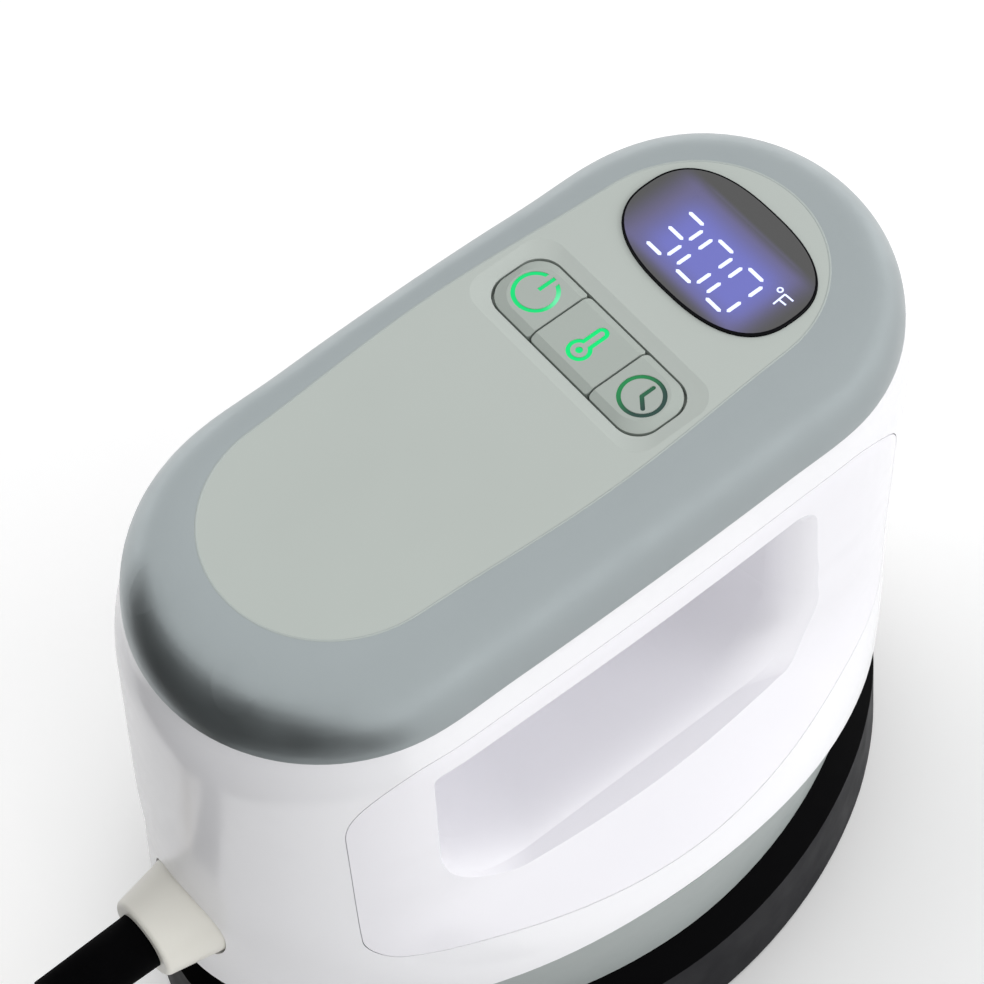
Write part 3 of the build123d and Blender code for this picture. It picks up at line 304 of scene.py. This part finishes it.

# %% [markdown]
# ## Lit icons and the display
#
# The keys' icons are lamps behind green lenses, so their colour comes from emission.
# The display is a smoked window. Behind it, a violet backlight spreads along the row
# of digits and is strongest next to them. A thin skin on the window carries that
# glow, and its grey colour is a painted reflection of the pale room on the glass.
# The digits are thin shapes on the skin.

# %% Lit icons
# Where an icon's light changes along X or Y, in millimetres.
POWER_BRIGHT_X = (10.5, 13.5)
POWER_BRIGHT_Y = (9.5, 7.2)
TIMER_DIM_Y = (-7.4, -12.0)


def shining(name, base, light, strength, second=None, share=None):
    """A surface with its own light; a second light may take over where a share is 1."""
    material = moulded(name, base, 0.4, gloss=0.2)
    tree = material.node_tree
    shader = tree.nodes["Principled BSDF"]
    shader.inputs["Emission Color"].default_value = light
    shader.inputs["Emission Strength"].default_value = strength
    if second:
        link(tree, mixed(tree, share(tree), light, second), shader.inputs["Emission Color"])
    return material


def power_share(tree):
    """1 on the corner of the power key's icon that is nearest to its lamp."""
    over_y = along(tree, "Y", *POWER_BRIGHT_Y)
    over_x = along(tree, "X", *POWER_BRIGHT_X)
    return calculated(tree, "MULTIPLY", over_y, over_x)


icon_power = shining(
    "icon_power", tone(0, 90, 50), tone(20, 222, 122), 0.9, tone(130, 245, 190), power_share,
)
icon_warm = shining("icon_warm", tone(0, 90, 50), tone(0, 232, 122), 0.92)
icon_timer = shining(
    "icon_timer", tone(40, 62, 56), tone(0, 140, 66), 0.8, tone(30, 52, 48),
    lambda tree: along(tree, "Y", *TIMER_DIM_Y),
)
LIT_ICONS = {
    "power_icon": icon_power, "temperature_icon": icon_warm, "timer_icon": icon_timer,
}
for node, material in LIT_ICONS.items():
    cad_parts[node].material_slots[0].material = material

# %% The display's glow
LENS_TOP = 104.7
LENS_X = 33.5
LENS_HALF_LENGTH = 9.2
LENS_HALF_WIDTH = 14.0
LENS_POWER = 2.55
LENS_INSET = 0.25
SKIN = 0.02
# Each part of the glow: where it lies along X and along Y, with the width of its soft edge.
GLOW_STRIP = ((24.6, 39.8, 2.2), (-13.6, 13.6, 4.5))
GLOW_CORE = ((24.6, 39.0, 5.0), (-12.6, 10.6, 6.0))
GLOW_LINE = ((38.9, 39.9, 0.35), (-10.5, 9.5, 3.0))
STRIP_TINT = (0.055, 0.045, 0.16, 1)
CORE_TINT = (0.085, 0.095, 0.47, 1)
LINE_TINT = (0.14, 0.12, 0.36, 1)


def lens_outline(inset, count=96):
    """Points round the display window, moved in by an inset."""
    points = []
    for i in range(count):
        angle = math.tau * i / count
        along_x = (abs(math.cos(angle)) / (LENS_HALF_LENGTH - inset)) ** LENS_POWER
        along_y = (abs(math.sin(angle)) / (LENS_HALF_WIDTH - inset)) ** LENS_POWER
        reach = (along_x + along_y) ** (-1 / LENS_POWER)
        points.append((LENS_X + reach * math.cos(angle), reach * math.sin(angle)))
    return points


def as_mesh(holder):
    """The evaluated object as a plain mesh."""
    bpy.context.view_layer.update()
    graph = bpy.context.evaluated_depsgraph_get()
    return bpy.data.meshes.new_from_object(holder.evaluated_get(graph))


def as_piece(name, mesh, material, body):
    """A mesh as a finished piece that rides on a body."""
    piece = in_scene(name, mesh)
    mesh.materials.clear()
    mesh.materials.append(material)
    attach(piece, body)


def flat_piece(name, shapes, z, material):
    """Flat faces at one height, one for each outline, as a piece on the press."""
    mesh = bpy.data.meshes.new(name)
    places, faces = [], []
    for shape in shapes:
        faces.append(tuple(range(len(places), len(places) + len(shape))))
        places += [(x * MM, y * MM, z * MM) for x, y in shape]
    mesh.from_pydata(places, [], faces)
    as_piece(name, mesh, material, "press")


def glow_area(tree, over_x, over_y):
    """1 in a rectangle of the display with soft edges."""
    return calculated(tree, "MULTIPLY", band(tree, "X", *over_x), band(tree, "Y", *over_y))


# The skin's grey base colour is a painted reflection of the room on the smoked glass; its
# emission is the backlight.
display_glow_and_reflection = moulded(
    "display_glow_and_reflection", tone(88, 88, 88), 0.3, drift=0.02, grain_height=0.0, gloss=0.15,
)
tree = display_glow_and_reflection.node_tree
shader = tree.nodes["Principled BSDF"]
strip = glow_area(tree, *GLOW_STRIP)
core = glow_area(tree, *GLOW_CORE)
line = glow_area(tree, *GLOW_LINE)
tint = mixed(tree, core, STRIP_TINT, CORE_TINT)
tint = mixed(tree, line, tint, LINE_TINT)
link(tree, mixed(tree, strip, (0, 0, 0, 1), tint), shader.inputs["Emission Color"])
shader.inputs["Emission Strength"].default_value = 1.0
flat_piece("display_skin", [lens_outline(LENS_INSET)], LENS_TOP + SKIN, display_glow_and_reflection)

# %% [markdown]
# The panel sits in the cap with a hair of a gap. A thin soft bead of gasket closes
# it, so the seam reads as a change of finish and not as a dark line.

# %% The panel's bead
PANEL_TOP = 104.3
PANEL_HALF_LENGTH = 46.05
PANEL_RADIUS = 16.7
PANEL_BULGE = 1.65
PANEL_X = 0.6
PANEL_STRETCH = 1.7
BEAD_HALF_WIDTH = 0.16
BEAD_RISE = 0.05
BEAD_ROWS = (-1, -0.6, 0, 0.6, 1)


def panel_outline(inset, count=240):
    """Points round the panel: a stadium whose long sides bow outwards."""
    points = []
    half = PANEL_HALF_LENGTH - inset
    radius = PANEL_RADIUS - inset
    straight = half - radius
    for i in range(count):
        angle = math.tau * i / count
        x, y = PANEL_STRETCH * math.cos(angle), math.sin(angle)
        size = math.hypot(x, y)
        x, y = x / size, y / size
        reach = radius / max(abs(y), 1e-9)
        if reach * abs(x) > straight:
            reach = straight * abs(x) + math.sqrt(radius**2 - (straight * y) ** 2)
        bow = 1 + PANEL_BULGE / radius * (1 - min(1, (reach * x / half) ** 2)) ** 4
        points.append((PANEL_X + reach * x, reach * y * bow))
    return points


panel_seam = moulded("panel_seam", tone(178, 186, 183), 0.45, gloss=0.3)
bead = bpy.data.meshes.new("panel_bead")
places = []
for share in BEAD_ROWS:
    height = PANEL_TOP + BEAD_RISE * (1 - share * share)
    places += [(x * MM, y * MM, height * MM) for x, y in panel_outline(share * BEAD_HALF_WIDTH)]
count = len(places) // len(BEAD_ROWS)
faces = []
for row in range(len(BEAD_ROWS) - 1):
    near, far = row * count, (row + 1) * count
    for i in range(count):
        j = (i + 1) % count
        faces.append((near + i, near + j, far + j, far + i))
bead.from_pydata(places, [], faces)
for face in bead.polygons:
    face.use_smooth = True
as_piece("panel_bead", bead, panel_seam, "press")

# %% [markdown]
# A seven-segment digit is seven bars with pointed ends. The row reads across the
# body, from the left side to the right, with the tops of the digits to the nose.

# %% The digits
# Each segment: its place along X, its place beside the digit's centre, and whether it is turned.
SEGMENTS = {
    "a": (34.5, 0.0, 0), "g": (31.05, 0.0, 0), "d": (27.4, 0.0, 0),
    "b": (32.75, -1.93, 1), "c": (29.15, -1.93, 1),
    "f": (32.75, 1.93, 1), "e": (29.15, 1.93, 1),
}
DIGITS = (("abcdg", 5.58), ("abcdef", -0.12), ("abcdef", -5.87))
BAR_HALF_LENGTH = (1.42, 1.2)
BAR_HALF_WIDTH = 0.27
F_STROKES = (
    ((33.2, -10.65), (35.35, -10.5)),
    ((35.3, -10.5), (35.4, -11.95)),
    ((34.2, -10.6), (34.3, -11.8)),
)
F_HALF_STROKE = 0.13
DEGREE_CENTRE = (35.3, -9.6)
DEGREE_RADII = (0.24, 0.46)
DEGREE_SIDES = 20


def bar(x, y, turned, half_length, half_width):
    """A bar's outline with pointed ends: along Y, or along X when turned."""
    shoulder = half_length - half_width
    shape = [
        (-half_width, -shoulder), (0, -half_length), (half_width, -shoulder),
        (half_width, shoulder), (0, half_length), (-half_width, shoulder),
    ]
    if turned:
        shape = [(b, -a) for a, b in shape]
    return [(x + a, y + b) for a, b in shape]


shapes = []
for lit, centre_y in DIGITS:
    for letter in lit:
        x, y, turned = SEGMENTS[letter]
        shapes.append(bar(x, centre_y + y, turned, BAR_HALF_LENGTH[turned], BAR_HALF_WIDTH))
for (x0, y0), (x1, y1) in F_STROKES:
    run = Vector((x1 - x0, y1 - y0)).normalized() * F_HALF_STROKE
    side = Vector((-run.y, run.x))
    shapes.append([
        (x0 + side.x, y0 + side.y), (x0 - side.x, y0 - side.y),
        (x1 - side.x, y1 - side.y), (x1 + side.x, y1 + side.y),
    ])
inner, outer = DEGREE_RADII
for i in range(DEGREE_SIDES):
    start, end = (math.tau * (i + k) / DEGREE_SIDES for k in (0, 1))
    corners = ((inner, start), (outer, start), (outer, end), (inner, end))
    shapes.append([
        (DEGREE_CENTRE[0] + radius * math.cos(turn), DEGREE_CENTRE[1] + radius * math.sin(turn))
        for radius, turn in corners
    ])
digit_light = shining("digit_light", tone(180, 190, 230), tone(226, 232, 255), 0.75)
flat_piece("display_digits", shapes, LENS_TOP + 2 * SKIN, digit_light)

# %% [markdown]
# ## Felt fibres
#
# The stand's pad is felt, and its fibres stand up a little. Geometry Nodes scatter
# short bent blades over the pad with a fixed seed. The blades are shorter than the
# gap under the hot plate, so the press still rests freely.

# %% Felt fibres on the pad
FIBRE_COUNT_PER_MM2 = 2.2
FIBRE_HEIGHT = 0.22
FIBRE_WIDTH = 0.05
FIBRE_INSET = 0.4
FIBRE_LEAN = 0.5
FIBRE_KNEE = 0.6
FIBRE_TAPER = 0.7
FIBRE_SEED = 7
PAD_SIDES = 72


def felt_fibres(host, blade, density, seed, material):
    """A node tree that scatters realized blades over the host's faces."""
    tree = bpy.data.node_groups.new("felt_fibres", "GeometryNodeTree")
    tree.interface.new_socket("Geometry", in_out="INPUT", socket_type="NodeSocketGeometry")
    for name, kind, value in (("Density", "Float", density), ("Seed", "Int", seed)):
        socket = tree.interface.new_socket(name, in_out="INPUT", socket_type="NodeSocket" + kind)
        socket.default_value = value
    tree.interface.new_socket("Geometry", in_out="OUTPUT", socket_type="NodeSocketGeometry")
    inputs = tree.nodes.new("NodeGroupInput")
    outputs = tree.nodes.new("NodeGroupOutput")
    scatter = tree.nodes.new("GeometryNodeDistributePointsOnFaces")
    fibre = tree.nodes.new("GeometryNodeObjectInfo")
    fibre.inputs["Object"].default_value = blade
    turn = tree.nodes.new("FunctionNodeRandomValue")
    turn.data_type = "FLOAT_VECTOR"
    turn.inputs[0].default_value = (-FIBRE_LEAN, -FIBRE_LEAN, 0)
    turn.inputs[1].default_value = (FIBRE_LEAN, FIBRE_LEAN, math.tau)
    place = tree.nodes.new("GeometryNodeInstanceOnPoints")
    solid = tree.nodes.new("GeometryNodeRealizeInstances")
    dressed = tree.nodes.new("GeometryNodeSetMaterial")
    dressed.inputs["Material"].default_value = material
    for source, target in (
        (inputs.outputs["Geometry"], scatter.inputs["Mesh"]),
        (inputs.outputs["Density"], scatter.inputs["Density"]),
        (inputs.outputs["Seed"], scatter.inputs["Seed"]),
        (inputs.outputs["Seed"], turn.inputs["Seed"]),
        (scatter.outputs["Points"], place.inputs["Points"]),
        (fibre.outputs["Geometry"], place.inputs["Instance"]),
        (turn.outputs[0], place.inputs["Rotation"]),
        (place.outputs["Instances"], solid.inputs["Geometry"]),
        (solid.outputs["Geometry"], dressed.inputs["Geometry"]),
        (dressed.outputs["Geometry"], outputs.inputs["Geometry"]),
    ):
        link(tree, source, target)
    modifier = host.modifiers.new("fibres", "NODES")
    modifier.node_group = tree
    return as_mesh(host)


pad_low, pad_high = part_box("stand_pad")
pad_middle = (Vector(pad_low) + Vector(pad_high)) / 2
pad_inset = Vector((FIBRE_INSET, FIBRE_INSET, 0)) * MM
pad_reach = (Vector(pad_high) - Vector(pad_low)) / 2 - pad_inset
pad_edge = []
for i in range(PAD_SIDES):
    angle = math.tau * i / PAD_SIDES
    across = pad_middle.x + pad_reach.x * math.cos(angle)
    ahead = pad_middle.y + pad_reach.y * math.sin(angle)
    pad_edge.append((across, ahead, pad_high[2]))
pad_top = bpy.data.meshes.new("pad_top")
pad_top.from_pydata(pad_edge, [], [tuple(range(PAD_SIDES))])
pad_host = in_scene("pad_top", pad_top)

half_width = FIBRE_WIDTH * MM / 2
knee_width = half_width * FIBRE_TAPER
knee_height = FIBRE_HEIGHT * MM * FIBRE_KNEE
blade_points = [
    (-half_width, 0, 0), (half_width, 0, 0),
    (knee_width, 0, knee_height), (-knee_width, 0, knee_height),
    (0, FIBRE_WIDTH * MM, FIBRE_HEIGHT * MM),
]
blade_mesh = bpy.data.meshes.new("fibre")
blade_mesh.from_pydata(blade_points, [], [(0, 1, 2, 3), (3, 2, 4)])
blade_host = in_scene("fibre", blade_mesh)
density = FIBRE_COUNT_PER_MM2 / MM**2
fibres = felt_fibres(pad_host, blade_host, density, FIBRE_SEED, felt_oat)
for holder in (pad_host, blade_host):
    bpy.data.objects.remove(holder)
as_piece("felt_fibres", fibres, felt_oat, "stand")
print("felt fibres", len(fibres.polygons))

# %% [markdown]
# ## Mains cord
#
# The whole cord is 1.65 m of black round cable. It leaves the strain relief level,
# sinks to the table and is put away in a round coil of two layers, the outer end
# coming out under the coil to the plug. One smooth spline is the whole cord: the
# coil's turns are more points of it.

# %% The cord's route
CORD_DIAMETER = 6.5 * MM
CORD_START = [
    (-92, 0, 37.5), (-105, 0, 37.5), (-119, -2, 32.4), (-130.2, -6, 23.4),
    (-139.6, -12.6, 15.6), (-147.6, -21.6, 11.6),
]
CORD_FINISH = [(-178, 43, 3.3), (-163.5, 41.6, 4.2), (-151, 36, 6), (-138, 31.1, 6)]
COIL_CENTRE = (-186.0, -3.0)
COIL_START = math.radians(-48)
TURN_POINTS = 16
TOP_LAYER_Z = 9.85
FLOOR_LAYER_Z = 3.3
TOP_RADII = (43.1, 36.8, 30.6)
DROP_TURNS = 0.375
FLOOR_RADII = (27.6, 33.9, 40.2, 46.4)
FLOOR_JOGS = (3.72, 4.72, 5.72)
LAST_TURN = 6.5625
JOG_TURNS = 0.3
JOG_LEAD = 0.06
DROP_LEAD = 0.1
SLIDE_TURNS = 0.25
DROP_DELAY = 0.12
CURVE_STEPS = 6
BEVEL_STEPS = 5


def coil_point(turns, radius, height):
    """A control point of a clockwise turn; the spline passes a little inside it."""
    angle = COIL_START - turns * math.tau
    wide = radius / math.cos(math.pi / TURN_POINTS)
    x, y = COIL_CENTRE
    return (x + wide * math.cos(angle), y + wide * math.sin(angle), height)


def eased(value):
    """A value held between 0 and 1, with soft ends."""
    value = min(1, max(0, value))
    return value * value * (3 - 2 * value)


def stepped(turns, radii, jogs):
    """A radius that stays for most of a turn and then steps over to the next one."""
    radius = radii[0]
    for jog, low, high in zip(jogs, radii, radii[1:]):
        radius += (high - low) * eased((turns - jog) / JOG_TURNS)
    return radius


route = list(CORD_START)
top_jogs = [k + 1 - JOG_TURNS - JOG_LEAD for k in range(len(TOP_RADII) - 1)]
drop_start = len(TOP_RADII) - DROP_LEAD
for i in range(round(LAST_TURN * TURN_POINTS) + 1):
    turns = i / TURN_POINTS
    if turns < drop_start:
        route.append(coil_point(turns, stepped(turns, TOP_RADII, top_jogs), TOP_LAYER_Z))
        continue
    slide = eased((turns - drop_start) / SLIDE_TURNS)
    fall = eased((turns - drop_start - DROP_DELAY) / DROP_TURNS)
    radius = stepped(turns, FLOOR_RADII, FLOOR_JOGS)
    if turns < FLOOR_JOGS[0]:
        radius = TOP_RADII[-1] + (FLOOR_RADII[0] - TOP_RADII[-1]) * slide
    height = TOP_LAYER_Z + (FLOOR_LAYER_Z - TOP_LAYER_Z) * fall
    route.append(coil_point(turns, radius, height))
print("cord coil ends at", [round(v, 1) for v in route[-1]], "control points", len(route))
route += CORD_FINISH


# %% The cord as a mesh tube
# First the bare curve gives the cord's middle line, then its bevel gives the tube.
curve = bpy.data.curves.new("cord_line", "CURVE")
curve.dimensions = "3D"
curve.resolution_u = CURVE_STEPS
spline = curve.splines.new("NURBS")
spline.points.add(len(route) - 1)
for point, place in zip(spline.points, route):
    point.co = [v * MM for v in place] + [1]
spline.order_u = 3
spline.use_endpoint_u = True
cord_host = in_scene("cord_line", curve)
cord_line = [tuple(v.co) for v in as_mesh(cord_host).vertices]
curve.bevel_depth = CORD_DIAMETER / 2
curve.bevel_resolution = BEVEL_STEPS
curve.use_fill_caps = True
cord_mesh = as_mesh(cord_host)
bpy.data.objects.remove(cord_host)
for face in cord_mesh.polygons:
    face.use_smooth = True

mains_cord = in_scene("mains_cord", cord_mesh)
cord_mesh.materials.clear()
cord_mesh.materials.append(cord_pvc)
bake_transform(mains_cord)
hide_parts("cord", "cord_coil", "cord_end")

# %% [markdown]
# ## Table, backdrop and light
#
# A white table and a white room. The camera sees the table brighter than it is
# lit, so the press itself is never over-lit, and so do mirror rays, so the satin
# cap shows the same pale room. That glow is weaker in front of the press, which
# paints the press's shade on the table as a soft grey, and far away it is so strong
# that the table's edge vanishes in the white. The light is stronger from the right
# and above, as beside a window, so the heel falls into a soft shade.

# %% Table
def background_rays(tree):
    """1 for rays that show the background: direct, mirrored or through glass."""
    ray = tree.nodes.new("ShaderNodeLightPath")
    total = ray.outputs["Is Camera Ray"]
    for kind in ("Is Glossy Ray", "Is Transmission Ray"):
        total = calculated(tree, "MAXIMUM", total, ray.outputs[kind])
    return total


FLOOR_SIDE = 3.0
# The glow rises over a range of Y in millimetres, which paints the press's shade on the
# table in front of it, and again away from the press in metres.
FLOOR_GLOW = (0.055, 0.31)
FLOOR_SHADE_FADE_Y = (-55, 37)
FAR_GLOW = (0.0, 0.5)
FAR_GLOW_REACH = (0.15, 0.6)
floor_mesh = bpy.data.meshes.new("table_top")
half = FLOOR_SIDE / 2
floor_corners = [(-half, -half, 0), (half, -half, 0), (half, half, 0), (-half, half, 0)]
floor_mesh.from_pydata(floor_corners, [], [(0, 1, 2, 3)])
table_top = in_scene("table_top", floor_mesh)
table_white = bpy.data.materials.new("table_white")
table_white.use_nodes = True
tree = table_white.node_tree
tree.nodes.clear()
out = tree.nodes.new("ShaderNodeOutputMaterial")
matt = tree.nodes.new("ShaderNodeBsdfDiffuse")
matt.inputs["Color"].default_value = tone(240, 240, 240)
glow = tree.nodes.new("ShaderNodeEmission")
glow.inputs["Color"].default_value = (1, 1, 1, 1)
# A painted shade: the glow is weaker in front of the press, where its shadow would fall.
glow_with_painted_shade = along(tree, "Y", *FLOOR_SHADE_FADE_Y, *FLOOR_GLOW)
reach = tree.nodes.new("ShaderNodeVectorMath")
reach.operation = "LENGTH"
link(tree, tree.nodes["Texture Coordinate"].outputs["Object"], reach.inputs[0])
away = mapped(tree, reach.outputs["Value"], *FAR_GLOW_REACH, *FAR_GLOW, "SMOOTHSTEP")
strength = calculated(tree, "ADD", glow_with_painted_shade, away)
seen = calculated(tree, "MULTIPLY", background_rays(tree), strength)
link(tree, seen, glow.inputs["Strength"])
both = tree.nodes.new("ShaderNodeAddShader")
link(tree, matt.outputs[0], both.inputs[0])
link(tree, glow.outputs[0], both.inputs[1])
link(tree, both.outputs[0], out.inputs["Surface"])
floor_mesh.materials.append(table_white)

# %% Room light
LIT_FROM = Vector((0.62, -0.35, 0.70)).normalized()
# How far a direction faces the lit side, and the room's brightness from there to here.
FACING = (-0.7, 0.9)
BRIGHTNESS = (0.10, 0.70)
world = bpy.data.worlds.new("room")
bpy.context.scene.world = world
world.use_nodes = True
tree = world.node_tree
tree.nodes.clear()
out = tree.nodes.new("ShaderNodeOutputWorld")
place = tree.nodes.new("ShaderNodeTexCoord")
facing = tree.nodes.new("ShaderNodeVectorMath")
facing.operation = "DOT_PRODUCT"
facing.inputs[1].default_value = LIT_FROM
link(tree, place.outputs["Generated"], facing.inputs[0])
brightness = mapped(tree, facing.outputs["Value"], *FACING, *BRIGHTNESS)
room = tree.nodes.new("ShaderNodeBackground")
room.inputs["Color"].default_value = (1, 1, 1, 1)
link(tree, brightness, room.inputs["Strength"])
white = tree.nodes.new("ShaderNodeBackground")
white.inputs["Color"].default_value = (1, 1, 1, 1)
pick = tree.nodes.new("ShaderNodeMixShader")
link(tree, background_rays(tree), pick.inputs[0])
link(tree, room.outputs[0], pick.inputs[1])
link(tree, white.outputs[0], pick.inputs[2])
link(tree, pick.outputs[0], out.inputs["Surface"])


# %% Lamps
LAMP_AIM = Vector((0, 0, 0.06))


def lamp(name, place, size, watts):
    """A rectangular soft box at a place, turned to the press."""
    data = bpy.data.lights.new(name, "AREA")
    data.shape = "RECTANGLE"
    data.size, data.size_y = size
    data.energy = watts
    holder = in_scene(name, data)
    holder.location = place
    holder.rotation_mode = "QUATERNION"
    holder.rotation_quaternion = (LAMP_AIM - Vector(place)).to_track_quat("-Z", "Y")
    holder.visible_glossy = False


lamp("window", (0.55, -0.50, 0.45), (0.5, 0.4), 1.68)
lamp("overhead", (0.10, 0.15, 0.9), (0.8, 0.8), 2.5)
lamp("fill", (-0.22, -0.78, 0.28), (0.6, 0.4), 1.28)

# %% [markdown]
# A dark card stands behind the heel, where the satin cap mirrors it. Only mirror
# rays see it, so it shades nothing and never shows in the picture.

# %% A dark card for the cap to mirror
# Each fold: its place along X and Y, and the card's height there.
CARD_FOLDS = (
    (-0.11, 0.12, 0.115), (-0.11, -0.05, 0.115), (-0.09, -0.085, 0.09), (-0.045, -0.105, 0.04),
)
card_mesh = bpy.data.meshes.new("dark_card")
card_mesh.from_pydata(
    [(x, y, z) for x, y, top in CARD_FOLDS for z in (0, top)],
    [],
    [(2 * i, 2 * i + 2, 2 * i + 3, 2 * i + 1) for i in range(len(CARD_FOLDS) - 1)],
)
dark_card = in_scene("dark_card", card_mesh)
card_mesh.materials.append(moulded("card_black", tone(20, 20, 22), 0.9, gloss=0.0))
for kind in ("camera", "diffuse", "transmission", "volume_scatter", "shadow"):
    setattr(dark_card, "visible_" + kind, False)

# %% [markdown]
# ## Finish
#
# The view transform stays plain.

# %% Finish
bpy.context.scene.view_settings.view_transform = "Standard"
